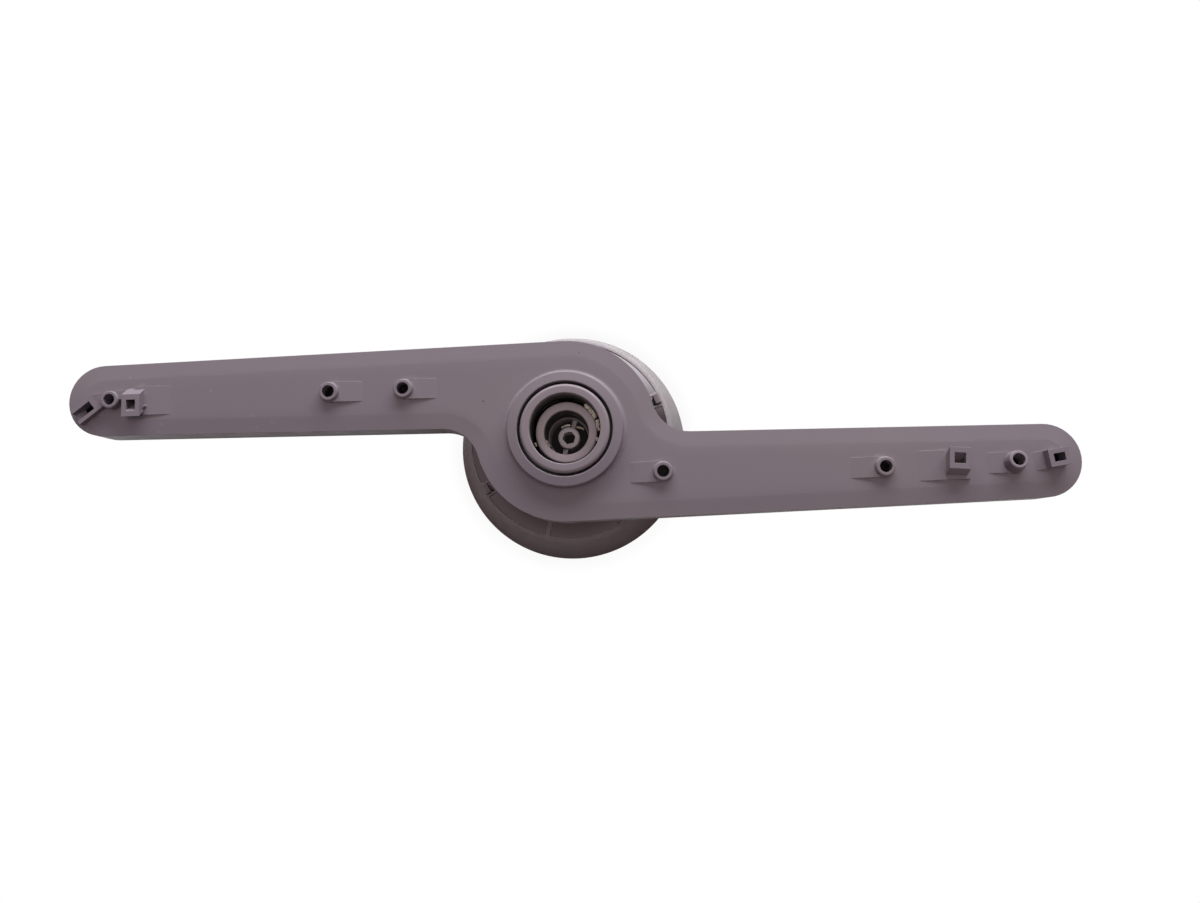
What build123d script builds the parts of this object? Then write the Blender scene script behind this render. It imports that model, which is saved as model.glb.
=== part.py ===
from build123d import *
import os
from math import acos, asin, atan2, cos, degrees, hypot, radians, sin, sqrt

# Lower spray arm of a dishwasher, with the hub and the slotted bell that it turns on.
# Millimetres. The origin is on the spin axis in the plane of the bell's rim, +Z points to
# the nozzles and +X runs along the two arms, which lie either side of the axis in a Z shape.

# Arm outline
arm_length = 460.0
tip_radius = 16.5
arm_offset = 21.6
root_half_width = 19.9
hub_radius = 41.5
armpit_radius = 17.0

# Arm section
arm_bottom = 44.0
arm_depth = 17.8
seam_height = 6.0
wall = 1.8
crown_width = 7.3
crown_drop = 0.7
floor_round = 2.5
tongue_height = 1.2
tongue_width = 0.9
weld_clearance = 0.1

# Collar and bearings of the arm
collar_radius = 26.3
collar_bore_radius = 21.6
collar_top = 66.6
collar_round = 0.6
collar_foot_round = 2.0
ledge_thickness = 3.0
ledge_depth = 8.6
sleeve_wall = 2.4
lower_bearing_length = 6.0
running_clearance = 0.08

# Round nozzles, each placed by its distance from the spin axis and across its arm
nozzle_radius = 4.4
nozzle_hole_radius = 2.75
nozzle_round = 0.7
nozzle_height = 3.2
ramp_width = 9.3
ramp_length = 15.2
long_ramp_length = 17.2
short_ramp_length = 12.2
ramp_rise = 1.6
left_nozzles = ((73.6, -0.1), (107.8, -0.2))
right_nozzles = ((43.4, -1.0), (142.2, 0.4))

# Nozzles near the arm ends, placed by their distance in from the end of the arm
tall_nozzle_inset = 30.3
tall_nozzle_across = 0.6
tall_nozzle_height = 5.6
tall_nozzle_foot_radius = 4.9
tall_nozzle_top_radius = 4.1
tall_nozzle_lean = 10.0
end_nozzle_inset = 21.6
end_nozzle_across = -0.4
end_nozzle_height = 4.5
end_nozzle_radius = 4.1
end_nozzle_hole_radius = 2.55
end_web_height = 3.5

# Square nozzles, whose tubes lean to one side under a level mouth
square_wall = 2.1
shelf_rise = 1.2
shelf_width = 13.4
shelf_margin = 1.0
wide_nozzle = (9.2, 9.6)
wide_nozzle_inset = 55.9
wide_nozzle_across = -1.9
wide_nozzle_turn = -5.0
wide_nozzle_height = 5.7
wide_nozzle_lean = 30.0
narrow_nozzle = (8.4, 10.3)
narrow_nozzle_inset = 31.9
narrow_nozzle_across = -3.6
narrow_nozzle_height = 4.8
narrow_nozzle_lean = 36.0
tip_nozzle = (9.2, 7.8)
tip_nozzle_inset = 12.4
tip_nozzle_across = -0.8
tip_nozzle_height = 5.2
tip_nozzle_turn = 8.0
tip_ramp_width = 8.2
nub_radius = 0.8
nub_height = 2.4

# Drive spout at the end of the left arm, a scoop that throws water sideways
spout_inset = 12.8
spout_across = -2.4
spout_turn = 37.5
spout_width = 7.9
spout_near = 2.6
spout_length = 12.4
spout_height = 3.0
spout_channel_width = 4.4
spout_throat = 3.1
spout_edge_gap = 2.2

# Hub stem, fixed, with the water inlet at its foot
stem_radius = 18.0
stem_wall = 2.0
stem_top = 64.4
window_height = 6.0
window_count = 6
window_share = 0.62
socket_radius = 22.0
socket_wall = 2.2
socket_bottom = 3.0
socket_depth = 23.0
flange_thickness = 2.4
rib_thickness = 2.4
rib_drop = 9.0
hook_width = 4.4
hook_thickness = 1.9
hook_rise = 3.2
hook_barb = 1.3
hook_reach = 48.9
hook_angles = (22.5, 121.0, 209.5, 301.5)
hook_clearance = 0.25
flange_clearance = 0.3

# Bell
bell_rim_radius = 58.1
bell_shoulder_radius = 50.5
bell_shoulder_height = 30.0
bell_wall = 2.0
bell_neck_radius = 33.0
bell_neck_top = 40.4
bell_roof_rise = 2.0
bell_shoulder_round = 3.0
slot_inner_radius = 41.2
slot_outer_radius = 48.3
slot_bridge = 2.2
slot_margin = 1.6

# Rings
slide_ring_thickness = 1.5
slide_ring_width = 6.6
upper_slide_ring_thickness = 1.2
slide_ring_clearance = 0.3
axial_play = 0.1
lock_ring_radius = 20.3
lock_ring_top = 66.4
lock_ring_round = 2.1
thread_clearance = 0.05
gasket_thickness = 2.4
gasket_width = 5.2
gasket_clearance = 0.05
groove_depth = 0.8

# Riser tube, the middle ring that feeds the upper arm
riser_mouth = 54.4
riser_head_radius = 14.3
riser_bore_radius = 10.3
riser_bore_depth = 18.0
riser_step = 1.0
riser_wall = 2.0
riser_head_height = 5.0
riser_head_taper = 4.0
riser_round = 0.9
riser_fin_thickness = 2.2
riser_fin_height = 12.0
riser_fin_clearance = 0.05
riser_foot_height = 2.4
riser_foot_reach = 4.2
boss_radius = 5.25
boss_depth = 19.2
boss_height = 11.0
boss_hex = 5.6
boss_edge = 0.4
spoke_thickness = 2.2
spoke_height = 7.0
spoke_angle = -109.0
spoke_count = 2
fin_count = 3

# Worked out from the sizes above
deck = arm_bottom + arm_depth
seam = arm_bottom + seam_height
tip_distance = arm_length / 2 - tip_radius
ledge_top = collar_top - ledge_depth
stem_bore_radius = stem_radius - stem_wall
stem_flange_top = bell_neck_top - bell_wall
socket_ledge = socket_bottom + socket_depth
gasket_seat = socket_ledge - riser_foot_height - gasket_thickness
groove_radius = socket_radius + groove_depth
slide_ring_radius = stem_radius + slide_ring_clearance + slide_ring_width
arm_foot = bell_neck_top + slide_ring_thickness + axial_play
bearing_radius = stem_radius + running_clearance
flange_radius = bell_neck_radius - bell_wall - flange_clearance
hook_outer = hook_reach - hook_barb
hook_inner = hook_outer - hook_thickness


def turned(points):
    """Solid of revolution about the spin axis from (radius, height) corners."""
    return revolve(Plane.XZ * make_face(Polyline(*points, close=True)), Axis.Z)


def pipe(outer, inner, low, high):
    """Plain ring between two radii and two heights."""
    ring = Circle(outer) - Circle(inner)
    return Pos(0, 0, low) * extrude(ring, high - low)


def around_axis(solid, count, first=0.0):
    """Copies of a solid at equal angles about the spin axis."""
    return [Rot(0, 0, first + 360 / count * index) * solid for index in range(count)]


def sector(inner, outer, start, end):
    """Flat ring sector between two radii and two angles in degrees."""
    middle = (start + end) / 2
    far = [outer * Vector(cos(radians(a)), sin(radians(a))) for a in (start, middle, end)]
    near = [inner * Vector(cos(radians(a)), sin(radians(a))) for a in (end, middle, start)]
    edges = [ThreePointArc(*far), Line(far[2], near[0]), ThreePointArc(*near), Line(near[2], far[0])]
    return make_face(edges)


def circles(body, radius, height):
    """Circular edges of a body that have a given radius and lie at a given height."""
    near = 0.05

    def fits(edge):
        return abs(edge.radius - radius) < near and abs(edge.center().Z - height) < near

    return body.edges().filter_by(GeomType.CIRCLE).filter_by(fits)


# Arm outline

def outer_tangent(centre, radius, other_radius):
    """Ends of the upper tangent line from a circle about the axis to a circle at a centre."""
    distance = hypot(*centre)
    heading = atan2(centre[1], centre[0]) - acos((radius - other_radius) / distance)
    normal = Vector(cos(heading), sin(heading))
    return radius * normal, Vector(*centre) + other_radius * normal


def point_tangent(point, centre, radius):
    """Point where the lower tangent line from a point touches a circle at a centre."""
    reach = Vector(*centre) - Vector(*point)
    heading = atan2(reach.Y, reach.X) + asin(radius / reach.length)
    span = sqrt(reach.length ** 2 - radius ** 2)
    return Vector(*point) + span * Vector(cos(heading), sin(heading))


def one_arm():
    """Flat shape of the left arm, from inside the hub to its round tip."""
    tip = (-tip_distance, arm_offset)
    root_low = Vector(0, arm_offset - root_half_width)
    root_high, tip_high = outer_tangent(tip, hub_radius, tip_radius)
    tip_low = point_tangent((root_low.X, root_low.Y), tip, tip_radius)
    tip_end = (-tip_distance - tip_radius, arm_offset)
    edges = [
        Line(root_low, root_high),
        Line(root_high, tip_high),
        ThreePointArc(tip_high, tip_end, tip_low),
        Line(tip_low, root_low),
    ]
    return make_face(edges)


def arm_outline():
    """Flat Z-shaped outline of both arms and the hub, with rounded armpits.

    The hub's circle starts where the left arm covers it, so that it adds no corner.
    """
    covered_angle = 135
    hub = Rot(0, 0, covered_angle) * Circle(hub_radius)
    outline = hub + one_arm() + Rot(0, 0, 180) * one_arm()

    def armpit_distance(vertex):
        return abs(abs(vertex.X) - hub_radius) + abs(vertex.Y)

    armpits = outline.vertices().sort_by(armpit_distance)[:2]
    return fillet(armpits, armpit_radius)


def crowned(outline, inset, low, high):
    """Prism of an outline whose top falls gently in a band along its edge.

    The inset is how far the outline already lies inside the arm's edge.
    """
    prism = Pos(0, 0, low) * extrude(outline, high - low)
    top = prism.faces().sort_by(Axis.Z)[-1]
    width = crown_width - inset
    return chamfer(top.edges(), width, crown_drop * width / crown_width, reference=top)


# Nozzles. Each is drawn about its own place on the deck, with the spin axis towards +X.

def wedge(length, back, width, rise):
    """Flat-sided ramp that climbs from the deck on the +X side and ends behind the nozzle."""
    corners = [(-back, -wall), (length, -wall), (length, 0), (0, rise)]
    if back:
        corners.append((-back, rise))
    side = Polyline(*corners, close=True)
    return extrude(Plane.XZ * make_face(side), width / 2, both=True)


def round_nozzle():
    """Short tube on a narrow ramp with a round end."""
    tube = Pos(0, 0, -wall) * extrude(Circle(nozzle_radius), wall + nozzle_height)
    tube = fillet(tube.edges().sort_by(Axis.Z)[-1], nozzle_round)
    heel = Pos(0, 0, -wall) * extrude(Circle(ramp_width / 2), wall + ramp_rise)
    hole = extrude(Circle(nozzle_hole_radius), arm_depth / 2, both=True)
    return wedge(ramp_length, 0, ramp_width, ramp_rise) + heel + tube, hole


def tall_nozzle():
    """Tapered tube that leans a little, on a narrow ramp. Its foot goes through the deck."""
    tilt = Rot(tall_nozzle_lean, 0, 0)
    taper = (tall_nozzle_foot_radius - tall_nozzle_top_radius) / tall_nozzle_height
    tube = Cone(tall_nozzle_foot_radius + taper * wall, tall_nozzle_top_radius, wall + tall_nozzle_height,
                align=(Align.CENTER, Align.CENTER, Align.MIN))
    tube = fillet(tube.edges().sort_by(Axis.Z)[-1], nozzle_round)
    hole = tilt * extrude(Circle(nozzle_hole_radius), arm_depth / 2, both=True)
    sideways = shelf_rise * sin(radians(tall_nozzle_lean))
    ramp = Pos(0, -sideways, 0) * wedge(short_ramp_length, 0, ramp_width, shelf_rise)
    return ramp + tilt * Pos(0, 0, -wall) * tube, hole


def square_tube(size, height, lean):
    """Square tube that leans towards -Y below a level mouth, and the hole down its middle."""
    width, depth = size
    narrowing = cos(radians(lean))
    length = (height + 2 * wall) / narrowing + depth * sin(radians(lean))
    tilt = Pos(0, 0, height) * Rot(lean, 0, 0)
    column = tilt * extrude(Rectangle(width, depth * narrowing), length, both=True)
    tube = split(column, Plane.XY.offset(height), keep=Keep.BOTTOM)
    bore = Rectangle(width - 2 * square_wall, depth * narrowing - 2 * square_wall)
    return tube, tilt * extrude(bore, length, both=True)


def wide_square_nozzle():
    """Square nozzle of the right arm, on a shelf wider than itself."""
    tube, hole = square_tube(wide_nozzle, wide_nozzle_height, wide_nozzle_lean)
    shelf = Pos(0, (shelf_width - wide_nozzle[1] + shelf_rise) / 2, 0) * wedge(
        long_ramp_length, wide_nozzle[0] / 2 + shelf_margin, shelf_width, shelf_rise)
    turn = Rot(0, 0, wide_nozzle_turn)
    return turn * tube + shelf, turn * hole


def narrow_square_nozzle():
    """Square nozzle of the left arm, with a shelf on its hub side only and a small nub."""
    tube, hole = square_tube(narrow_nozzle, narrow_nozzle_height, narrow_nozzle_lean)
    edge = narrow_nozzle[0] / 2
    shelf = Pos(0, (shelf_width - narrow_nozzle[1]) / 2 + shelf_rise, 0) * wedge(
        edge + short_ramp_length, 0, shelf_width, shelf_rise)
    nub = Pos(edge + nub_radius / 2, 0, 0) * extrude(Circle(nub_radius), nub_height)
    return tube + shelf + nub, hole


def tip_square_nozzle():
    """Upright square nozzle at the right tip, on a narrow ramp of its own width."""
    tube, hole = square_tube(tip_nozzle, tip_nozzle_height, 0)
    return tube + wedge(tip_nozzle[0], 0, tip_ramp_width, shelf_rise), hole


def end_nozzle():
    """Round tube between the drive spout and the square nozzle, webbed to both."""
    tube = Pos(0, 0, -wall) * extrude(Circle(end_nozzle_radius), wall + end_nozzle_height)
    tube = fillet(tube.edges().sort_by(Axis.Z)[-1], nozzle_round)
    gap = narrow_nozzle_inset - end_nozzle_inset - narrow_nozzle[0] / 2
    web = Pos(gap / 2, end_nozzle_radius / 2, -wall) * Box(
        gap, end_nozzle_radius, wall + end_web_height,
        align=(Align.CENTER, Align.CENTER, Align.MIN))
    hole = extrude(Circle(end_nozzle_hole_radius), arm_depth / 2, both=True)
    return tube + web, hole


def drive_spout():
    """Block that points to -X, with a hole that curves out through a scoop at its far end.

    A sloping saddle on its near side climbs to the round nozzle beside it, and its far end
    follows the round end of the arm.
    """
    far = spout_near - spout_length
    corners = [(spout_near, -wall), (spout_near, spout_height), (far, spout_height), (far, -wall)]
    block = extrude(Plane.XZ * make_face(Polyline(*corners, close=True)), spout_width / 2, both=True)
    reach = Vector(end_nozzle_inset - spout_inset, end_nozzle_across - spout_across)
    beside = reach.rotate(Axis.Z, -spout_turn)
    foot = Polygon((spout_near, spout_width / 2), (spout_near, -spout_width / 2), (beside.X, beside.Y),
                   (beside.X, beside.Y + end_nozzle_radius), align=None)
    saddle = Pos(0, 0, -wall) * extrude(foot, wall + end_web_height)
    fall = (spout_height - end_web_height) / (beside.X - spout_near)
    slope = Plane((spout_near, 0, spout_height), z_dir=(fall, 0, 1))
    block += split(saddle, slope, keep=Keep.BOTTOM)
    arm_end = Pos(tip_radius - spout_inset, -spout_across, -wall) * extrude(
        Circle(tip_radius - spout_edge_gap), wall + end_nozzle_height)
    block &= Rot(0, 0, -spout_turn) * arm_end
    lip = (far - spout_near, spout_height / 2)
    scoop = ThreePointArc((-spout_throat, -2 * wall), (far / 2 - wall, -wall / 2), lip)
    sky = 2 * spout_height
    outline = [
        Line(lip, (lip[0], sky)),
        Line((lip[0], sky), (0, sky)),
        Line((0, sky), (0, -2 * wall)),
        Line((0, -2 * wall), (-spout_throat, -2 * wall)),
        scoop,
    ]
    hole = extrude(Plane.XZ * make_face(outline), spout_channel_width / 2, both=True)
    return block, hole


def nozzle_list():
    """Each nozzle's outer form and water hole, placed on the deck of its arm."""
    left_end = Pos(-arm_length / 2, arm_offset, deck)
    right_end = Rot(0, 0, 180) * left_end
    tip_turn = Rot(0, 0, tip_nozzle_turn)
    placed = [
        (right_end * Pos(tall_nozzle_inset, tall_nozzle_across, 0), tall_nozzle()),
        (right_end * Pos(wide_nozzle_inset, wide_nozzle_across, 0), wide_square_nozzle()),
        (right_end * Pos(tip_nozzle_inset, tip_nozzle_across, 0) * tip_turn, tip_square_nozzle()),
        (left_end * Pos(end_nozzle_inset, end_nozzle_across, 0), end_nozzle()),
        (left_end * Pos(narrow_nozzle_inset, narrow_nozzle_across, 0), narrow_square_nozzle()),
        (left_end * Pos(spout_inset, spout_across, 0) * Rot(0, 0, spout_turn), drive_spout()),
    ]
    for end, spots in ((left_end, left_nozzles), (right_end, right_nozzles)):
        for reach, across in spots:
            placed.append((end * Pos(arm_length / 2 - reach, across, 0), round_nozzle()))
    return [(place * form, place * hole) for place, (form, hole) in placed]


# Arm shells

def cut_outline(outline, depth):
    """Outline of the hollow, a given depth inside the arm's outline."""
    return offset(outline, -depth)


def arm_top_shell():
    """Upper moulding: deck, nozzles, collar and the bearing ledge inside it."""
    outline = arm_outline()
    body = crowned(outline, 0, seam, deck)
    body += Pos(0, 0, deck - wall) * extrude(Circle(collar_radius), collar_top - deck + wall)
    body = fillet(circles(body, collar_radius, collar_top), collar_round)
    body = fillet(circles(body, collar_radius, deck), collar_foot_round)
    nozzles = nozzle_list()
    for form, hole in nozzles:
        body += form
    body -= crowned(cut_outline(outline, wall), wall, seam, deck - wall)
    body += pipe(collar_bore_radius + wall, bearing_radius, ledge_top - ledge_thickness, deck)
    body -= Pos(0, 0, ledge_top) * extrude(Circle(collar_bore_radius), collar_top)
    body -= Pos(0, 0, seam) * extrude(Circle(bearing_radius), collar_top)
    for form, hole in nozzles:
        body -= hole
    return body


def arm_bottom_shell():
    """Lower moulding: floor, side walls up to the seam and the lower bearing."""
    outline = arm_outline()
    body = Pos(0, 0, arm_bottom) * extrude(outline, seam_height)
    body = fillet(body.faces().sort_by(Axis.Z)[0].edges(), floor_round)
    inner = cut_outline(outline, wall)
    body -= Pos(0, 0, arm_bottom + wall) * extrude(inner, seam_height)
    rim_outer = cut_outline(outline, wall + weld_clearance)
    rim_inner = cut_outline(outline, wall + weld_clearance + tongue_width)
    tongue = extrude(rim_outer - rim_inner, seam_height - wall + tongue_height)
    body += Pos(0, 0, arm_bottom + wall) * tongue
    sleeve_radius = bearing_radius + sleeve_wall
    body += pipe(slide_ring_radius, bearing_radius, arm_foot, arm_bottom + wall)
    body += pipe(sleeve_radius, bearing_radius, arm_foot, arm_foot + lower_bearing_length)
    body -= Pos(0, 0, arm_foot) * extrude(Circle(bearing_radius), arm_depth)
    return body


# Fixed hub

def bell_profile():
    """Half section of the bell: rim, shoulder, roof, neck and the seat for the stem."""
    bore = stem_radius + slide_ring_clearance
    roof_inner = bell_shoulder_height + bell_roof_rise
    neck_foot = bell_neck_radius + bell_wall
    outside = [
        (bell_rim_radius, 0),
        (bell_shoulder_radius, bell_shoulder_height),
        (neck_foot, roof_inner),
        (bell_neck_radius, bell_neck_top),
        (bore, bell_neck_top),
    ]
    inside = [
        (bore, bell_neck_top - bell_wall),
        (bell_neck_radius - bell_wall, bell_neck_top - bell_wall),
        (neck_foot - bell_wall, roof_inner - bell_wall),
        (bell_shoulder_radius - bell_wall, bell_shoulder_height - bell_wall),
        (bell_rim_radius - bell_wall, 0),
    ]
    return outside, inside


def roof_height(radius):
    """Height of the bell's sloping roof at a radius."""
    slope = bell_roof_rise / (bell_shoulder_radius - bell_neck_radius - bell_wall)
    return bell_shoulder_height + slope * (bell_shoulder_radius - radius)


def slot_spans():
    """Start and end angle of each slot: two between each pair of hooks."""
    margin = degrees((hook_width / 2 + slot_margin) / slot_outer_radius)
    bridge = degrees(slot_bridge / slot_outer_radius) / 2
    spans = []
    for first, last in zip(hook_angles, hook_angles[1:] + (hook_angles[0] + 360,)):
        middle = (first + last) / 2
        spans.append((first + margin, middle - bridge))
        spans.append((middle + bridge, last - margin))
    return spans


def bell_skirt():
    """Bell with slots round its shoulder and four windows for the stem's hooks."""
    outside, inside = bell_profile()
    section = make_face(Polyline(*outside, *inside, close=True))
    shoulder = section.vertices().sort_by_distance((bell_shoulder_radius, bell_shoulder_height))[0]
    bell = revolve(Plane.XZ * fillet(shoulder, bell_shoulder_round), Axis.Z)
    for start, end in slot_spans():
        flat = sector(slot_inner_radius, slot_outer_radius, start, end)
        bell -= Pos(0, 0, bell_shoulder_height - 2 * bell_wall) * extrude(flat, 4 * bell_wall)
    inner = hook_inner - hook_barb - hook_clearance
    outer = hook_outer + hook_clearance
    window = Pos((inner + outer) / 2, 0, bell_shoulder_height) * Box(
        outer - inner, hook_width + 2 * hook_clearance, 4 * bell_wall)
    for angle in hook_angles:
        bell -= Rot(0, 0, angle) * window
    return bell


def hook():
    """Snap hook on the end of a rib, with its barb over the bell's roof."""
    low = bell_shoulder_height - rib_drop
    barb_low = roof_height(hook_outer) + hook_clearance
    high = barb_low + hook_rise
    side = Polyline(
        (hook_inner, low), (hook_outer, low), (hook_outer, barb_low), (hook_reach, barb_low),
        (hook_outer, high), (hook_inner, high), close=True)
    return extrude(Plane.XZ * make_face(side), hook_width / 2, both=True)


def rib():
    """Radial rib under the roof, from the socket to a hook."""
    inner = socket_radius + socket_wall / 2
    outer = hook_inner + hook_thickness / 2
    low = bell_shoulder_height - rib_drop
    high = bell_shoulder_height - bell_wall - hook_clearance
    side = Polyline((inner, low - rib_drop), (outer, low), (outer, high), (inner, high), close=True)
    return extrude(Plane.XZ * make_face(side), rib_thickness / 2, both=True)


def hub_stem():
    """Fixed stem: inlet socket, seat flange, hooks and the bearing tube with its windows."""
    socket_outer = socket_radius + socket_wall
    body = turned([
        (socket_radius, socket_bottom),
        (socket_outer, socket_bottom),
        (socket_outer, socket_ledge + stem_wall),
        (stem_radius + 2 * stem_wall, stem_flange_top - flange_thickness),
        (flange_radius, stem_flange_top - flange_thickness),
        (flange_radius, stem_flange_top),
        (stem_radius, stem_flange_top),
        (stem_radius, stem_top),
        (stem_bore_radius, stem_top),
        (stem_bore_radius, socket_ledge),
        (groove_radius, socket_ledge),
        (groove_radius, gasket_seat),
        (socket_radius, gasket_seat),
    ])
    for angle in hook_angles:
        body += Rot(0, 0, angle) * (rib() + hook())
    half = 180 / window_count * window_share
    flat = sector(stem_bore_radius - stem_wall, stem_radius + stem_wall, -half, half)
    low = arm_foot + lower_bearing_length
    for window in around_axis(extrude(flat, window_height), window_count):
        body -= Pos(0, 0, low) * window
    return body


def riser_tube():
    """Middle tube with a thick mouth, three fins that centre it and a boss on spokes."""
    tube_outer = riser_bore_radius + riser_wall
    throat_radius = riser_bore_radius - riser_step
    tube_bottom = socket_ledge - riser_foot_height
    body = turned([
        (throat_radius, tube_bottom),
        (tube_outer, tube_bottom),
        (tube_outer, riser_mouth - riser_head_height - riser_head_taper),
        (riser_head_radius, riser_mouth - riser_head_height),
        (riser_head_radius, riser_mouth),
        (riser_bore_radius, riser_mouth),
        (riser_bore_radius, riser_mouth - riser_bore_depth),
        (throat_radius, riser_mouth - riser_bore_depth),
    ])
    body = fillet(body.edges().group_by(Axis.Z)[-1], riser_round)
    fin_radius = stem_bore_radius - riser_fin_clearance
    side = Polyline(
        (tube_outer - riser_wall / 2, tube_bottom),
        (fin_radius + riser_foot_reach, tube_bottom),
        (fin_radius + riser_foot_reach, socket_ledge),
        (fin_radius, socket_ledge),
        (fin_radius, socket_ledge + riser_fin_height),
        (tube_outer - riser_wall / 2, socket_ledge + riser_fin_height),
        close=True)
    fin = extrude(Plane.XZ * make_face(side), riser_fin_thickness / 2, both=True)
    boss_bottom = riser_mouth - boss_depth - boss_height
    spoke = Pos(throat_radius / 2, 0, boss_bottom + spoke_height / 2) * Box(
        throat_radius + riser_wall / 2, spoke_thickness, spoke_height)
    for piece in around_axis(fin, fin_count, spoke_angle) + around_axis(spoke, spoke_count, spoke_angle):
        body += piece
    boss = Pos(0, 0, boss_bottom) * extrude(Circle(boss_radius), boss_height)
    body += chamfer(boss.edges().sort_by(Axis.Z)[-1], boss_edge)
    hexagon = RegularPolygon(boss_hex / 2, 6, major_radius=False, rotation=spoke_angle)
    body -= Pos(0, 0, boss_bottom) * extrude(hexagon, boss_height)
    return body


def lock_ring():
    """Screwed ring on top of the stem that keeps the arm down."""
    low = ledge_top + upper_slide_ring_thickness + axial_play
    thread_radius = stem_radius + thread_clearance
    body = turned([
        (thread_radius, low),
        (lock_ring_radius, low),
        (lock_ring_radius, lock_ring_top),
        (stem_bore_radius, lock_ring_top),
        (stem_bore_radius, stem_top),
        (thread_radius, stem_top),
    ])
    rim = [e for e in body.edges().group_by(Axis.Z)[-1] if e.radius > stem_radius]
    return fillet(rim, lock_ring_round)


def lower_slide_ring():
    """Slide ring between the bell's neck and the foot of the arm."""
    low = bell_neck_top
    return pipe(slide_ring_radius, stem_radius + slide_ring_clearance, low, low + slide_ring_thickness)


def upper_slide_ring():
    """Slide ring between the arm's ledge and the lock ring."""
    outer = collar_bore_radius - slide_ring_clearance
    inner = stem_radius + slide_ring_clearance
    return pipe(outer, inner, ledge_top, ledge_top + upper_slide_ring_thickness)


def inlet_gasket():
    """Flat rubber ring that sits in a groove at the top of the inlet socket."""
    outer = groove_radius - gasket_clearance
    return pipe(outer, outer - gasket_width, gasket_seat, gasket_seat + gasket_thickness)


pieces = {
    "arm_top_shell": arm_top_shell,
    "arm_bottom_shell": arm_bottom_shell,
    "bell_skirt": bell_skirt,
    "hub_stem": hub_stem,
    "riser_tube": riser_tube,
    "lock_ring": lock_ring,
    "lower_slide_ring": lower_slide_ring,
    "upper_slide_ring": upper_slide_ring,
    "inlet_gasket": inlet_gasket,
}

os.makedirs("parts", exist_ok=True)
for name, make in pieces.items():
    export_step(make(), f"parts/{name}.step")
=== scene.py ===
from math import radians

import bpy
import numpy as np
from mathutils import Matrix, Vector


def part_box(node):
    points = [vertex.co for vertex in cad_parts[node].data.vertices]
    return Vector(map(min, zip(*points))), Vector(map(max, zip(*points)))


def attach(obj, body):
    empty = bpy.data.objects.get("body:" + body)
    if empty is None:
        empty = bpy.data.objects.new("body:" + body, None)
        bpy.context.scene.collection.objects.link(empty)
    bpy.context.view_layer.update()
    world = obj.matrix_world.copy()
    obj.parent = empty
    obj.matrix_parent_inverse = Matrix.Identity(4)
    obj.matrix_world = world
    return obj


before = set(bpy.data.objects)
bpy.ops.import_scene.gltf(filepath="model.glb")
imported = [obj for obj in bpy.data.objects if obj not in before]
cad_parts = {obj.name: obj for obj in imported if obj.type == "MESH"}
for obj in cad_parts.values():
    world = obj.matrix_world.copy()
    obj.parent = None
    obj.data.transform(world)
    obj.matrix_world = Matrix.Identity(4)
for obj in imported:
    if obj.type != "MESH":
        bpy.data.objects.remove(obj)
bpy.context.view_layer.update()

# Camera
# The picture is taken from about 39 cm above the arm, a little in front of the hub and to its
# right, through the wide lens of a phone. The arms stretch across most of the frame.
MM = 0.001
scene = bpy.context.scene
camera_place = Vector((24.62, -58.83, 456.66)) * MM
camera_ahead = Vector((-0.0232, 0.1215, -0.9923)).normalized()
camera_upward = Vector((0.0362, 0.992, 0.1206))
camera_right = camera_ahead.cross(camera_upward).normalized()
camera_top = camera_right.cross(camera_ahead)
lens = bpy.data.cameras.new("camera")
lens.sensor_width = 36
lens.lens = 26.4
lens.clip_start = 0.01
camera = bpy.data.objects.new("camera", lens)
turn = Matrix((camera_right, camera_top, -camera_ahead)).transposed().to_4x4()
camera.matrix_world = Matrix.Translation(camera_place) @ turn
scene.collection.objects.link(camera)
scene.camera = camera

# Light
# A wide soft lamp stands low beyond the arms, a little to the right, so that the far sides of the
# bell, the rings and the ramps are bright and the near sides lie in shade.
lamp_azimuth = radians(79)
lamp_elevation = radians(18)
lamp_distance = 1.7
lamp_level = 2.2
towards_lamp = Vector((np.cos(lamp_elevation) * np.cos(lamp_azimuth),
                       np.cos(lamp_elevation) * np.sin(lamp_azimuth), np.sin(lamp_elevation)))
lamp = bpy.data.lights.new("window", "AREA")
lamp.shape = "RECTANGLE"
lamp.size = 2.2
lamp.size_y = 0.9
lamp.energy = lamp_level * (np.pi * lamp_distance) ** 2
lamp.color = (0.97, 0.98, 1.05)
window = bpy.data.objects.new("window", lamp)
window.location = towards_lamp * lamp_distance
window.rotation_euler = towards_lamp.to_track_quat("Z", "Y").to_euler()
scene.collection.objects.link(window)
scene.view_settings.view_transform = "Standard"

# Floor
# The object stands on a plain pale sheet, which runs out of the picture on all sides. It is white
# to the camera, with a faint painted shadow close round the bell's rim. Inside the bell the sheet
# is painted shade, brighter on the lamp's side as painted light, and black in the middle, under
# the stem. Its colour for bounced light is painted darker near the rim, as painted shade.
floor_size = 30
floor_brown = (0.22, 0.155, 0.130, 1)
rim_shade_brown = (0.10, 0.055, 0.050, 1)
bell_shade = (0.042, 0.029, 0.031, 1)
slot_shade = (0.066, 0.050, 0.053, 1)
painted_lamp_side_light = (0.58, 0.53, 0.56, 1)
stem_shade = (0.006, 0.005, 0.005, 1)
rim_shadow_grey = (0.96, 0.95, 0.95, 1)
plain_white = (1, 1, 1, 1)
rim_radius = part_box("bell_skirt")[1].x
rim_blur = 2 * MM
rim_shadow = 9 * MM
shadow_reach = 60 * MM
open_floor = 0.8
stem_foot = 20 * MM
stem_blur = 4 * MM
slot_start, slot_end = 40 * MM, 49 * MM
lit_start, lit_end = 20 * MM, 48 * MM


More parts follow.
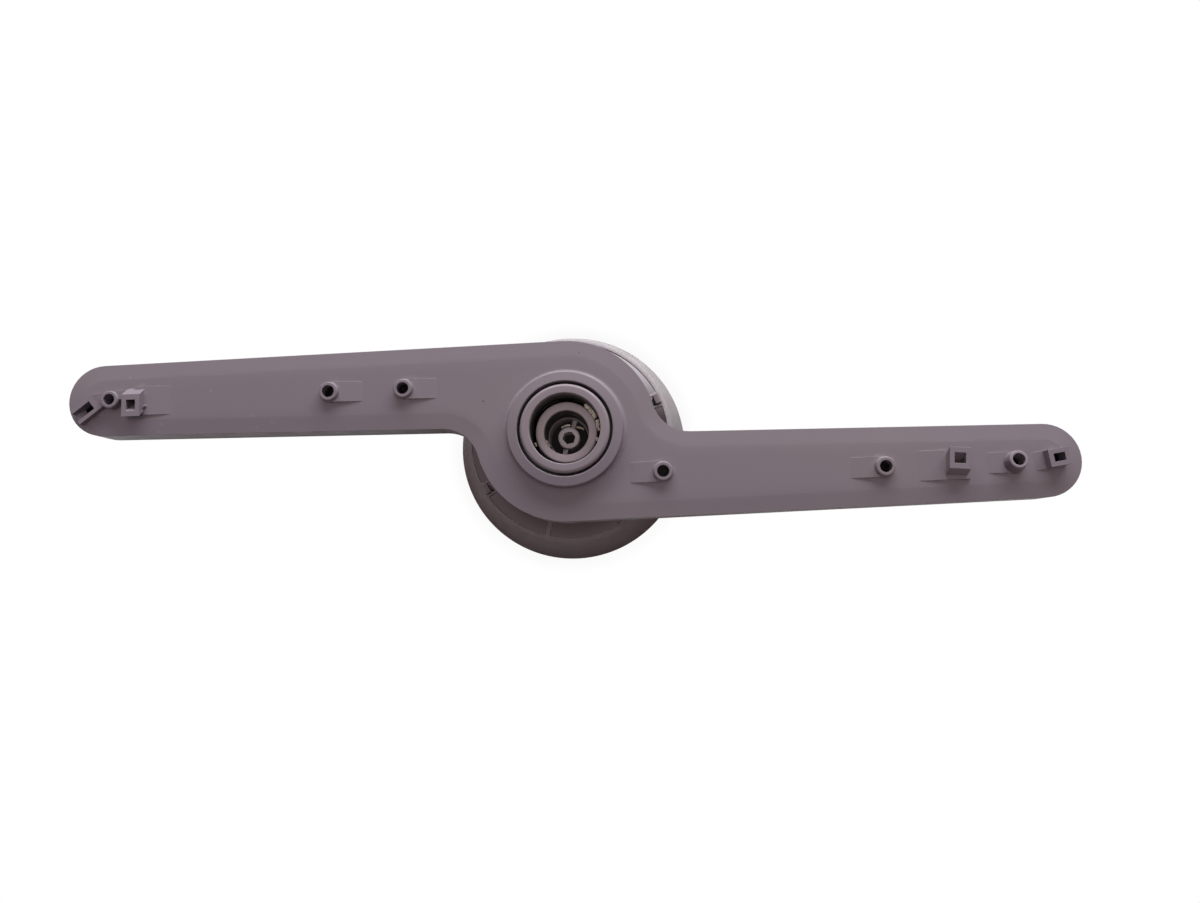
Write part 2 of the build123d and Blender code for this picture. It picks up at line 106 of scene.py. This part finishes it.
def add(tree, kind, inputs=None, **settings):
    """Adds a shader node, sets its options, and fills its inputs with values or links."""
    node = tree.nodes.new(kind)
    for option, value in settings.items():
        setattr(node, option, value)
    for label, value in (inputs or {}).items():
        if isinstance(value, bpy.types.NodeSocket):
            tree.links.new(value, node.inputs[label])
        else:
            node.inputs[label].default_value = value
    return node


def math(tree, operation, first, second=0.0):
    """One arithmetic step on values."""
    return add(tree, "ShaderNodeMath", {0: first, 1: second}, operation=operation).outputs[0]


def vector(tree, operation, first, second=(0, 0, 0)):
    """One arithmetic step on vectors, which gives a value for a length or a dot product."""
    outputs = add(tree, "ShaderNodeVectorMath", {0: first, 1: second}, operation=operation).outputs
    return outputs["Value" if operation in ("LENGTH", "DOT_PRODUCT") else "Vector"]


def spread(tree, value, low, high, to_low=0.0, to_high=1.0):
    """Spreads the range from low to high over a new range, with a soft start and end."""
    return add(tree, "ShaderNodeMapRange", {"Value": value, "From Min": low, "From Max": high,
                                            "To Min": to_low, "To Max": to_high},
               interpolation_type="SMOOTHSTEP").outputs[0]


def tint(tree, share, first, second):
    """Mix of two colours: the first where the share is 0, the second where it is 1."""
    mix = add(tree, "ShaderNodeMix", data_type="RGBA")
    for socket, value in ((mix.inputs[0], share), (mix.inputs[6], first), (mix.inputs[7], second)):
        if isinstance(value, bpy.types.NodeSocket):
            tree.links.new(value, socket)
        else:
            socket.default_value = value
    return mix.outputs[2]


def position(tree):
    """Position on the piece in metres."""
    return add(tree, "ShaderNodeTexCoord").outputs["Object"]


def corners(tree, reach, samples):
    """Ambient occlusion: 1 in the open, less where other surfaces stand within reach."""
    node = add(tree, "ShaderNodeAmbientOcclusion", {"Distance": reach}, samples=samples)
    return node.outputs["AO"]


def seen_directly(tree):
    """Values that are 1 on rays from the camera or through clear matter, and in reflections."""
    rays = add(tree, "ShaderNodeLightPath").outputs
    straight = math(tree, "MAXIMUM", rays["Is Camera Ray"], rays["Is Transmission Ray"])
    return straight, rays["Is Glossy Ray"]


sheet_material = bpy.data.materials.new("pale_sheet")
sheet_material.use_nodes = True
tree = sheet_material.node_tree
tree.nodes.clear()
where = position(tree)
reach = vector(tree, "LENGTH", where)
# Painted shade on the sheet inside the bell, with painted light on the lamp's side, and a faint
# painted shadow round its rim.
lit_side = spread(tree, vector(tree, "DOT_PRODUCT", where, towards_lamp), lit_start, lit_end)
under_slots = tint(tree, spread(tree, reach, slot_start, slot_end), bell_shade, slot_shade)
inside = tint(tree, spread(tree, reach, stem_foot, stem_foot + stem_blur), stem_shade,
              tint(tree, lit_side, under_slots, painted_lamp_side_light))
outside = tint(tree, spread(tree, reach, rim_radius, rim_radius + rim_shadow),
               rim_shadow_grey, plain_white)
seen = tint(tree, spread(tree, reach, rim_radius - rim_blur, rim_radius), inside, outside)
white = add(tree, "ShaderNodeEmission", {"Color": seen, "Strength": 1})
# The colour for bounced light is painted darker near the rim, as painted shade.
brown = tint(tree, spread(tree, reach, rim_radius, rim_radius + shadow_reach),
             rim_shade_brown, floor_brown)
matt = add(tree, "ShaderNodeBsdfDiffuse", {"Color": brown})
straight, mirrored = seen_directly(tree)
free = spread(tree, corners(tree, shadow_reach, 8), open_floor, 1)
share = math(tree, "MAXIMUM", straight, math(tree, "MULTIPLY", mirrored, free))
blend = add(tree, "ShaderNodeMixShader", {0: share, 1: matt.outputs[0], 2: white.outputs[0]})
add(tree, "ShaderNodeOutputMaterial", {"Surface": blend.outputs[0]})

half = floor_size / 2
sheet_mesh = bpy.data.meshes.new("floor")
sheet_mesh.from_pydata([(-half, -half, 0), (half, -half, 0), (half, half, 0), (-half, half, 0)],
                       [], [(0, 1, 2, 3)])
sheet_mesh.materials.append(sheet_material)
sheet = bpy.data.objects.new("floor", sheet_mesh)
scene.collection.objects.link(sheet)

# Sky
# The room glows round the lamp and straight overhead, where a warmer ceiling light shines down
# into the rings, and is dim elsewhere. To the camera itself it is plain white. The zones are
# given as cosines of the angle to the lamp and to the zenith.
sky_dim = 0.02
sky_beside_lamp = 0.3
sky_overhead = 1.3
sky_tint = (1, 0.88, 0.90, 1)
lamp_zone_edge = -0.1
ceiling_edge, ceiling_middle = 0.8, 0.95
zenith = (0, 0, 1)
world = bpy.data.worlds.new("studio")
scene.world = world
world.use_nodes = True
tree = world.node_tree
tree.nodes.clear()
direction = add(tree, "ShaderNodeTexCoord").outputs["Generated"]
beside = spread(tree, vector(tree, "DOT_PRODUCT", direction, towards_lamp), lamp_zone_edge, 1,
                sky_dim, sky_beside_lamp)
overhead = spread(tree, vector(tree, "DOT_PRODUCT", direction, zenith), ceiling_edge,
                  ceiling_middle, 0, sky_overhead)
dim = add(tree, "ShaderNodeBackground", {"Color": sky_tint,
                                         "Strength": math(tree, "ADD", beside, overhead)})
bright = add(tree, "ShaderNodeBackground", {"Color": plain_white, "Strength": 1})
share = math(tree, "MAXIMUM", *seen_directly(tree))
blend = add(tree, "ShaderNodeMixShader", {0: share, 1: dim.outputs[0], 2: bright.outputs[0]})
add(tree, "ShaderNodeOutputWorld", {"Surface": blend.outputs[0]})

# Spray arm
# Two mauve-grey polypropylene mouldings, welded round their seam. The plastic has the fine matt
# skin of the mould, faint streaks where it flowed along the arms, and a film of hard water.
arm_colour = (0.188, 0.155, 0.178, 1)
arm_warm = (0.196, 0.165, 0.173, 1)
arm_roughness = 0.5
arm_water = 0.4
seam_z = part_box("arm_top_shell")[0].z
seam_half = 0.16 * MM
seam_depth = 3
seam_darker = 0.55


def effect(name, inputs, outputs):
    """Starts a shader node group with named inputs and outputs: its tree, inputs and end."""
    tree = bpy.data.node_groups.new(name, "ShaderNodeTree")
    for label, kind, value in inputs:
        tree.interface.new_socket(label, in_out="INPUT", socket_type=kind).default_value = value
    for label, kind in outputs:
        tree.interface.new_socket(label, in_out="OUTPUT", socket_type=kind)
    return tree, add(tree, "NodeGroupInput").outputs, add(tree, "NodeGroupOutput")


def stretched(tree, stretch):
    """Position on the piece, stretched along each axis."""
    return add(tree, "ShaderNodeMapping", {"Vector": position(tree), "Scale": stretch}).outputs[0]


def noise(tree, scale, detail=2, stretch=(1, 1, 1)):
    """Noise from 0 to 1 with a given number of grains per metre."""
    return add(tree, "ShaderNodeTexNoise", {"Vector": stretched(tree, stretch), "Scale": scale,
                                            "Detail": detail}).outputs["Fac"]


def from_axis(tree):
    """Distance from the spin axis in metres: the length of the position without its height."""
    return vector(tree, "LENGTH", vector(tree, "MULTIPLY", position(tree), (1, 1, 0)))


def height_above_floor(tree):
    """Height on the piece in metres."""
    return add(tree, "ShaderNodeSeparateXYZ", {0: position(tree)}).outputs["Z"]


# Flow: broad and fine streaks of a warmer tint, drawn out along the arms as the plastic filled
# the mould.
broad_grains, broad_stretch = 14, (0.45, 1.6, 1)
fine_grains, fine_stretch, fine_share = 90, (0.25, 1.4, 1), 0.35
tree, given, end = effect("flow", [("Colour", "NodeSocketColor", arm_colour),
                                   ("Warm", "NodeSocketColor", arm_warm)],
                          [("Colour", "NodeSocketColor")])
broad = spread(tree, noise(tree, broad_grains, 3, broad_stretch), 0.3, 0.72)
fine = spread(tree, noise(tree, fine_grains, 2, fine_stretch), 0.35, 0.7, 0, fine_share)
streaks = math(tree, "MAXIMUM", broad, fine)
tree.links.new(tint(tree, streaks, given["Colour"], given["Warm"]), end.inputs["Colour"])

# Mould skin: a spark-eroded texture about a third of a millimetre wide, with duller and shinier
# patches.
skin_grains = 2600
patch_grains = 140
shinier, duller = -0.05, 0.06
tree, given, end = effect("mould_skin", [("Roughness", "NodeSocketFloat", arm_roughness)],
                          [("Roughness", "NodeSocketFloat"), ("Height", "NodeSocketFloat")])
uneven = spread(tree, noise(tree, patch_grains, 3), 0.3, 0.7, shinier, duller)
tree.links.new(math(tree, "ADD", given["Roughness"], uneven), end.inputs["Roughness"])
tree.links.new(noise(tree, skin_grains), end.inputs["Height"])

# Hard water: dried spots, and scale that settles in shallow corners, where the water stands.
drop_grains = 260.0
damp_grains = 38
scale_grains = 300
corner_reach = 2.5 * MM
spot_share = 0.5
settled_share = 0.6
tree, given, end = effect("hard_water", [("Amount", "NodeSocketFloat", arm_water)],
                          [("Mask", "NodeSocketFloat")])
drops = add(tree, "ShaderNodeTexVoronoi", {"Vector": stretched(tree, (1, 1, 1)),
                                           "Scale": drop_grains, "Randomness": 1.0})
rings = spread(tree, drops.outputs["Distance"], 0.12, 0.2, 1, 0)
few = spread(tree, noise(tree, damp_grains, 3), 0.56, 0.7)
spots = math(tree, "MULTIPLY", math(tree, "MULTIPLY", rings, few), spot_share)
corner = corners(tree, corner_reach, 6)
shallow = math(tree, "MULTIPLY", spread(tree, corner, 0.3, 0.5),
               spread(tree, corner, 0.6, 0.9, 1, 0))
patchy = spread(tree, noise(tree, scale_grains, 3), 0.42, 0.62)
settled = math(tree, "MULTIPLY", math(tree, "MULTIPLY", shallow, patchy), settled_share)
film = math(tree, "MULTIPLY", math(tree, "MAXIMUM", spots, settled), given["Amount"])
tree.links.new(film, end.inputs["Mask"])

# Worn edge: where the surface turns within the width of an edge, the skin is rubbed smooth.
edge_width = 0.25 * MM
tree, given, end = effect("worn_edge", [("Width", "NodeSocketFloat", edge_width)],
                          [("Mask", "NodeSocketFloat"), ("Normal", "NodeSocketVector")])
rounded = add(tree, "ShaderNodeBevel", {"Radius": given["Width"]}, samples=6).outputs["Normal"]
faced = add(tree, "ShaderNodeNewGeometry").outputs["Normal"]
turned = spread(tree, vector(tree, "DOT_PRODUCT", rounded, faced), 0.8, 0.99, 1, 0)
tree.links.new(turned, end.inputs["Mask"])
tree.links.new(rounded, end.inputs["Normal"])

# Soft crown: the gentle slope along the arm's edges runs into the flat deck without a crease.
# Only turns of up to 3 degrees, fading out at 5.5, are smoothed, so that steps and nozzles stay.
crown_reach = 9 * MM
too_sharp, gentle_turn = 0.9955, 0.9985
tree, given, end = effect("soft_crown", [("Reach", "NodeSocketFloat", crown_reach),
                                         ("Edge", "NodeSocketVector", zenith)],
                          [("Normal", "NodeSocketVector")])
wide = add(tree, "ShaderNodeBevel", {"Radius": given["Reach"]}, samples=8).outputs["Normal"]
faced = add(tree, "ShaderNodeNewGeometry").outputs["Normal"]
gentle = spread(tree, vector(tree, "DOT_PRODUCT", wide, faced), too_sharp, gentle_turn)
lean = add(tree, "ShaderNodeVectorMath", {0: vector(tree, "SUBTRACT", wide, faced),
                                          "Scale": gentle}, operation="SCALE").outputs["Vector"]
smoothed = vector(tree, "NORMALIZE", vector(tree, "ADD", lean, given["Edge"]))
tree.links.new(smoothed, end.inputs["Normal"])

# Bore shade: painted shade, a dark tone with a ragged top on the walls inside the hub, below the
# rims, standing for the shade deep in the bores. The boss in the middle is left unpainted.
bore_shade_grains = 700
bore_shade_ragged = 0.3 * MM
bore_shade_side, bore_shade_fade = 0.2 * MM, 0.6 * MM
boss_unshaded, wall_start = 9.3 * MM, 9.8 * MM
tree, given, end = effect("bore_shade", [("Radius", "NodeSocketFloat", 0.01),
                                        ("Height", "NodeSocketFloat", 0.05)],
                          [("Mask", "NodeSocketFloat")])
reach = from_axis(tree)
ragged = spread(tree, noise(tree, bore_shade_grains, 3), 0.3, 0.7, -bore_shade_ragged, bore_shade_ragged)
top = math(tree, "ADD", given["Height"], ragged)
inside = spread(tree, math(tree, "SUBTRACT", given["Radius"], reach), 0, bore_shade_side)
below = spread(tree, math(tree, "SUBTRACT", top, height_above_floor(tree)), 0, bore_shade_fade)
on_wall = spread(tree, reach, boss_unshaded, wall_start)
tree.links.new(math(tree, "MULTIPLY", math(tree, "MULTIPLY", inside, below), on_wall),
               end.inputs["Mask"])

scale_colour = (0.42, 0.39, 0.36, 1)
# Near-black painted shade, for the bore walls and for the slide rings in the gap under the collar.
painted_shade_dark = (0.022, 0.017, 0.015, 1)
# Pale scale colour for the boss, which also serves as painted highlight for its glints.
crust_and_glint_colour = (0.66, 0.61, 0.61, 1)
crust_grains = 500
crust_ragged, crust_fade = 0.6 * MM, 0.5 * MM
# Painted shade: the side away from the lamp is tinted darker, fading out towards the lamp.
shade_full, shade_end, shade_share = -25 * MM, 15 * MM, 0.45
worn_lighter, worn_share = 1.25, 0.12
skin_strength, skin_depth = 0.12, 0.06 * MM
film_duller = 0.25
plastic_ior, plastic_shine = 1.49, 0.3


def use(tree, name, **values):
    """Places a shared effect in a material with its own values or links."""
    node = add(tree, "ShaderNodeGroup", values, node_tree=bpy.data.node_groups[name])
    return node.outputs


def scaled(colour, factor):
    """The same colour, with red, green and blue each times the factor, up to 1."""
    return tuple(min(1, factor * part) for part in colour[:3]) + (1,)


def new_material(name):
    """New material, its node tree and its shader."""
    material = bpy.data.materials.new(name)
    material.use_nodes = True
    return material, material.node_tree, material.node_tree.nodes["Principled BSDF"]


def finish(tree, shader, colour, roughness, height, strength, depth, **normal):
    """Links the colour, roughness and relief of a surface to its shader."""
    bump = add(tree, "ShaderNodeBump", {"Height": height, "Strength": strength,
                                        "Distance": depth, **normal})
    tree.links.new(colour, shader.inputs["Base Color"])
    tree.links.new(roughness, shader.inputs["Roughness"])
    tree.links.new(bump.outputs["Normal"], shader.inputs["Normal"])


def moulded(name, colour, warm, roughness, water, seam=None, bore=None, crust_and_glint_radius=None, away_shade=None):
    """Matt moulded plastic with flow streaks, mould skin, worn edges and hard water.

    With a seam height, a fine dark parting line runs round the piece there, and its sloping
    band is softened. With the radius and height of a bore, its wall is painted dark below the
    rim, as painted shade. Within the crust and glint radius, pale scale colour covers the
    plastic, which also serves as painted highlight. Given a painted shade colour, the side away
    from the lamp is thinly tinted with it, as painted shade.
    """
    material, tree, shader = new_material(name)
    skin = use(tree, "mould_skin", Roughness=roughness)
    edge = use(tree, "worn_edge", Width=edge_width)
    film = use(tree, "hard_water", Amount=water)["Mask"]
    body = use(tree, "flow", Colour=colour, Warm=warm)["Colour"]
    height, normal = skin["Height"], edge["Normal"]
    # Painted shade on the side away from the lamp.
    if away_shade is not None:
        lampward = vector(tree, "DOT_PRODUCT", position(tree), towards_lamp)
        shaded_share = spread(tree, lampward, shade_full, shade_end, shade_share, 0)
        body = tint(tree, shaded_share, body, away_shade)
    worn = math(tree, "MULTIPLY", edge["Mask"], worn_share)
    body = tint(tree, worn, body, scaled(colour, worn_lighter))
    body = tint(tree, film, body, scale_colour)
    # Painted shade on the bore wall.
    if bore is not None:
        bore_dark = use(tree, "bore_shade", Radius=bore[0], Height=bore[1])["Mask"]
        body = tint(tree, bore_dark, body, painted_shade_dark)
    # Pale scale on the boss, also a painted highlight for its glints.
    if crust_and_glint_radius is not None:
        ragged = spread(tree, noise(tree, crust_grains, 3), 0.3, 0.7, -crust_ragged, crust_ragged)
        crust = spread(tree, math(tree, "ADD", from_axis(tree), ragged),
                       crust_and_glint_radius - crust_fade, crust_and_glint_radius + crust_fade, 1, 0)
        body = tint(tree, crust, body, crust_and_glint_colour)
    if seam is not None:
        normal = use(tree, "soft_crown", Reach=crown_reach, Edge=normal)["Normal"]
        away = math(tree, "ABSOLUTE", math(tree, "SUBTRACT", height_above_floor(tree), seam))
        line = spread(tree, away, 0.4 * seam_half, seam_half, 1, 0)
        body = tint(tree, line, body, scaled(colour, seam_darker))
        height = math(tree, "SUBTRACT", height, math(tree, "MULTIPLY", line, seam_depth))
    rough = math(tree, "ADD", skin["Roughness"], math(tree, "MULTIPLY", film, film_duller))
    finish(tree, shader, body, rough, height, skin_strength, skin_depth, Normal=normal)
    shader.inputs["IOR"].default_value = plastic_ior
    shader.inputs["Specular IOR Level"].default_value = plastic_shine
    return material


def dress(material, *names):
    """Gives CAD pieces their real finish."""
    for name in names:
        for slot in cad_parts[name].material_slots:
            slot.material = material


arm_plastic = moulded("arm_plastic", arm_colour, arm_warm, arm_roughness, arm_water, seam_z)
dress(arm_plastic, "arm_top_shell", "arm_bottom_shell")

# Hub
# The fixed stem with its hooks, the bell that snaps on to it and the riser tube and lock ring in
# its mouth are moulded in plastics of slightly different greys with the same matt skin; the
# riser's grey is painted much lighter, as painted light for the light deep in the mouth. The thin
# bell lets a little light through, and its side away from the lamp is tinted brown as painted
# shade.
bell_colour = (0.282, 0.266, 0.270, 1)
bell_warm = (0.292, 0.272, 0.266, 1)
bell_painted_shade = (0.185, 0.105, 0.125, 1)
bell_depth = 4 * MM
bell_light = (1, 0.9, 0.9)
stem_colour = (0.170, 0.138, 0.150, 1)
stem_warm = (0.180, 0.148, 0.150, 1)
stem_bore = (20 * MM, 64 * MM)
ring_colour = (0.220, 0.184, 0.204, 1)
ring_warm = (0.232, 0.194, 0.198, 1)
ring_bore = (16.1 * MM, 65.2 * MM)
# Painted light: the riser is made much lighter than the other greys, so that deep in the mouth it
# looks as lit as the lock ring.
riser_lit_colour = (0.500, 0.430, 0.455, 1)
riser_lit_warm = (0.515, 0.445, 0.445, 1)
riser_bore = (10.6 * MM, 53.3 * MM)
boss_radius = 6 * MM

bell_plastic = moulded("bell_plastic", bell_colour, bell_warm, roughness=0.55, water=0.5,
                       away_shade=bell_painted_shade)
shader = bell_plastic.node_tree.nodes["Principled BSDF"]
shader.inputs["Subsurface Weight"].default_value = 0.5
shader.inputs["Subsurface Radius"].default_value = bell_light
shader.inputs["Subsurface Scale"].default_value = bell_depth
stem_plastic = moulded("stem_plastic", stem_colour, stem_warm, roughness=0.5, water=0.6,
                       bore=stem_bore)
ring_plastic = moulded("ring_plastic", ring_colour, ring_warm, roughness=0.42, water=0.4,
                       bore=ring_bore)
riser_plastic = moulded("riser_plastic", riser_lit_colour, riser_lit_warm, roughness=0.4, water=0.4,
                        bore=riser_bore, crust_and_glint_radius=boss_radius)
dress(bell_plastic, "bell_skirt")
dress(stem_plastic, "hub_stem")
dress(ring_plastic, "lock_ring")
dress(riser_plastic, "riser_tube")

# Ring tops
# The top of the round collar falls gently outwards, and the top of the lock ring stands a little
# above it with rounded edges. Each is moulded in one with the ring that it covers. Their sizes
# are in millimetres.
collar_bore = 21.65
collar_brim = 26.0
collar_top = 66.6
collar_fall = 0.6
collar_skirt = 0.1
crown_outer = 20.36
crown_inner = 16.02
crown_low = 64.3
crown_round = 1.6
crown_chamfer = 0.25
crown_rise = 1.2
crown_wall = 1.5
crown_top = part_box("lock_ring")[1].z / MM + crown_rise


def add_piece(name, points, faces, material, body):
    """Puts a closed surface, with its points in mm, into the scene on one of the bodies."""
    mesh = bpy.data.meshes.new(name)
    mesh.from_pydata((points * MM).tolist(), [], faces)
    mesh.materials.append(material)
    piece = bpy.data.objects.new(name, mesh)
    scene.collection.objects.link(piece)
    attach(piece, body)
    return mesh


def lathe(name, profile, material, body, steps=240):
    """Closed smooth ring: a profile of (radius, height) points carried round the spin axis.

    The point at radius r and height z, at angle t, lies at (r cos t, r sin t, z).
    """
    radius, height = np.array(profile).T[:, None, :]
    angle = np.linspace(0, 2 * np.pi, steps, endpoint=False)[:, None]
    points = np.stack([radius * np.cos(angle), radius * np.sin(angle), height + 0 * angle], -1)
    grid = np.arange(steps * len(profile)).reshape(steps, len(profile))
    after, beside = np.roll(grid, -1, axis=0), np.roll(grid, -1, axis=1)
    faces = np.stack([grid, after, np.roll(after, -1, axis=1), beside], -1).reshape(-1, 4)
    mesh = add_piece(name, points.reshape(-1, 3), faces.tolist(), material, body)
    mesh.polygons.foreach_set("use_smooth", [True] * len(faces))


brow = collar_top + collar_fall
slope = [(collar_bore, collar_top - collar_skirt), (collar_brim, collar_top - collar_skirt),
         (collar_brim, collar_top + 0.02), (collar_brim - 0.2, collar_top + 0.05),
         (collar_bore + 0.5, brow - 0.03), (collar_bore + 0.3, brow),
         (collar_bore + 0.1, brow - 0.07), (collar_bore, brow - 0.2)]
lathe("collar_slope", slope, arm_plastic, "arm")
bend = [(crown_outer - crown_round * (1 - np.cos(t)), crown_top - crown_round * (1 - np.sin(t)))
        for t in np.linspace(0, np.pi / 2, 11)]
crown = [(crown_inner + crown_wall, crown_low), (crown_outer, crown_low), *bend,
         (crown_inner + 0.45, crown_top), (crown_inner + crown_chamfer, crown_top),
         (crown_inner, crown_top - crown_chamfer), (crown_inner, crown_low + crown_wall)]
lathe("lock_ring_crown", crown, ring_plastic, "hub")

# Slide rings
# Two flat rings of white acetal carry the arm and turn against it. They are smooth and slightly
# waxy, with fine circles where they rub. Their outer part is painted black, as painted shade for
# the narrow gap under the collar.
acetal_white = (0.72, 0.7, 0.65, 1)
acetal_aged = (0.62, 0.59, 0.52, 1)
circle_turns = 26000
gap_shade_start, gap_shade_full = 19.9 * MM, 20.3 * MM
acetal, tree, shader = new_material("acetal")
reach = from_axis(tree)
circles = math(tree, "SINE", math(tree, "MULTIPLY", reach, circle_turns))
ring_base_tone = tint(tree, noise(tree, 120), acetal_white, acetal_aged)
# Painted shade: the outer part is black.
colour = tint(tree, spread(tree, reach, gap_shade_start, gap_shade_full), ring_base_tone, painted_shade_dark)
finish(tree, shader, colour, spread(tree, circles, -1, 1, 0.28, 0.42), circles,
       strength=0.15, depth=0.02 * MM)
dress(acetal, "lower_slide_ring", "upper_slide_ring")

# Inlet gasket
# A flat ring of black rubber at the top of the inlet socket. It lies loose in a groove, and has a
# grey bloom on it.
rubber_black = (0.018, 0.018, 0.018, 1)
rubber_bloom = (0.055, 0.055, 0.052, 1)
rubber, tree, shader = new_material("gasket_rubber")
bloom = spread(tree, noise(tree, 420, 4), 0.45, 0.75)
finish(tree, shader, tint(tree, bloom, rubber_black, rubber_bloom),
       spread(tree, bloom, 0, 1, 0.55, 0.75), noise(tree, 3000), strength=0.3, depth=0.05 * MM)
dress(rubber, "inlet_gasket")

# Limescale crystals
# Pale lumps of dried scale sit on the shoulder of the riser tube and against the wall of the
# stem, with a few more on the wall of the riser's bore. Pale flakes lie beside its boss where its
# glints are, so that they also serve as painted highlight.
crystal_rows = 7
crystal_columns = 9
crystal_poles = [(0, 0, -0.9), (0, 0, 0.9)]
crystal_least, crystal_most = 0.72, 1.12
crust_brown = (0.68, 0.56, 0.41, 1)
crust_pale = (0.95, 0.90, 0.80, 1)
riser_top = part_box("riser_tube")[1].z / MM
boss_top = riser_top - 19.2


def cluster(name, spots, material, body, seed):
    """Many closed uneven lumps, each from its (radius, angle, height) and half size in mm.

    A point at latitude a and longitude b of a lump lies at size * step * (cos a cos b,
    cos a sin b, sin a) from its middle, where step is drawn at random. The lump is then
    carried out to its radius and turned about the spin axis to its angle.
    """
    place = np.array([spot[:3] for spot in spots])
    size = np.array([spot[3] for spot in spots])
    a = np.linspace(-np.pi / 2, np.pi / 2, crystal_rows + 1)[1:-1, None]
    b = np.linspace(0, 2 * np.pi, crystal_columns, endpoint=False)[None, :]
    step = np.random.default_rng(seed).uniform(crystal_least, crystal_most,
                                               (len(spots), crystal_rows - 1, crystal_columns))
    ball = np.stack([np.cos(a) * np.cos(b), np.cos(a) * np.sin(b), np.sin(a) + 0 * b], -1)
    sides = (ball * step[..., None]).reshape(len(spots), -1, 3)
    poles = np.tile(crystal_poles, (len(spots), 1, 1))
    x, y, z = np.moveaxis(np.concatenate([sides, poles], axis=1) * size[:, None, :], -1, 0)
    x, z = x + place[:, :1], z + place[:, 2:]
    cosine, sine = np.cos(np.radians(place[:, 1:2])), np.sin(np.radians(place[:, 1:2]))
    points = np.stack([x * cosine - y * sine, x * sine + y * cosine, z], -1)

    grid = np.arange(sides.shape[1]).reshape(-1, crystal_columns)
    after = np.roll(grid, -1, axis=1)
    quads = np.stack([grid[:-1], after[:-1], after[1:], grid[1:]], -1).reshape(-1, 4)
    south, north = np.full(crystal_columns, grid.size), np.full(crystal_columns, grid.size + 1)
    caps = np.concatenate([np.stack([after[0], grid[0], south], -1),
                           np.stack([grid[-1], after[-1], north], -1)])
    first = (np.arange(len(spots)) * points.shape[1])[:, None, None]
    faces = (quads + first).reshape(-1, 4).tolist() + (caps + first).reshape(-1, 3).tolist()
    add_piece(name, points.reshape(-1, 3), faces, material, body)


crust, tree, shader = new_material("scale_crust")
finish(tree, shader,
       tint(tree, spread(tree, noise(tree, 900, 3), 0.35, 0.65), crust_brown, crust_pale),
       spread(tree, noise(tree, 1500), 0.3, 0.7, 0.18, 0.5), noise(tree, 4000),
       strength=0.4, depth=0.1 * MM)

shoulder = [(14.9 + 0.35 * np.sin(5 * i), 25 + 2.1 * i, riser_top + 1.1 + 0.5 * (i % 3),
             (0.8, 0.7 + 0.12 * (i % 4), 0.7)) for i in range(14)]
above = [(15.3, 27 + 3.2 * i, riser_top + 2.6 + 0.4 * (i % 2), (0.6, 0.75, 0.6))
         for i in range(8)]
beside = [(15.0, 15, riser_top + 4.6, (1.0, 0.95, 0.9)),
          (15.0, 10, riser_top + 4.9, (1.05, 0.9, 0.9)),
          (14.8, 5.5, riser_top + 4.3, (0.85, 0.8, 0.8)),
          (15.1, 1, riser_top + 3.6, (0.7, 0.7, 0.7)),
          (14.6, -15, riser_top + 2.1, (0.6, 0.7, 0.6)),
          (14.8, -18, riser_top + 1.7, (0.55, 0.5, 0.5)),
          (15.2, 199, riser_top + 1.2, (0.5, 0.5, 0.4)),
          (15.2, 203, riser_top + 1.0, (0.45, 0.5, 0.4))]
cluster("scale_in_channel", shoulder + above + beside, crust, "hub", 4)
bore_wall = [(9.95, 202 + 3 * i, riser_top - 1.9 - 0.9 * (i % 3), (0.4, 0.6, 0.75))
             for i in range(5)]
glint_flakes = [(6.1, 88 + 8 * i, boss_top, (0.5, 0.65, 0.2)) for i in range(5)]
glint_flakes += [(6.5 + 0.4 * i, 50 - 5 * i, boss_top, (0.5, 0.55, 0.2)) for i in range(5)]
cluster("scale_and_glints_in_riser", bore_wall + glint_flakes, crust, "hub", 9)

# Specks
# Two crumbs of dark brown dirt have dried on to the deck of the arm near the hub. They are about
# a millimetre wide and a quarter as thick.
grime_dark = (0.05, 0.035, 0.03, 1)
grime_light = (0.12, 0.085, 0.07, 1)
deck_z = 61.8
crumbs = [(40.0, 158.4, deck_z, (0.5, 0.4, 0.12)),
          (36.5, 78.5, deck_z - 0.2, (0.35, 0.3, 0.12))]
grime, tree, shader = new_material("grime")
tree.links.new(tint(tree, noise(tree, 1200, 3), grime_dark, grime_light),
               shader.inputs["Base Color"])
shader.inputs["Roughness"].default_value = 0.7
cluster("specks_on_deck", crumbs, grime, "arm", 2)
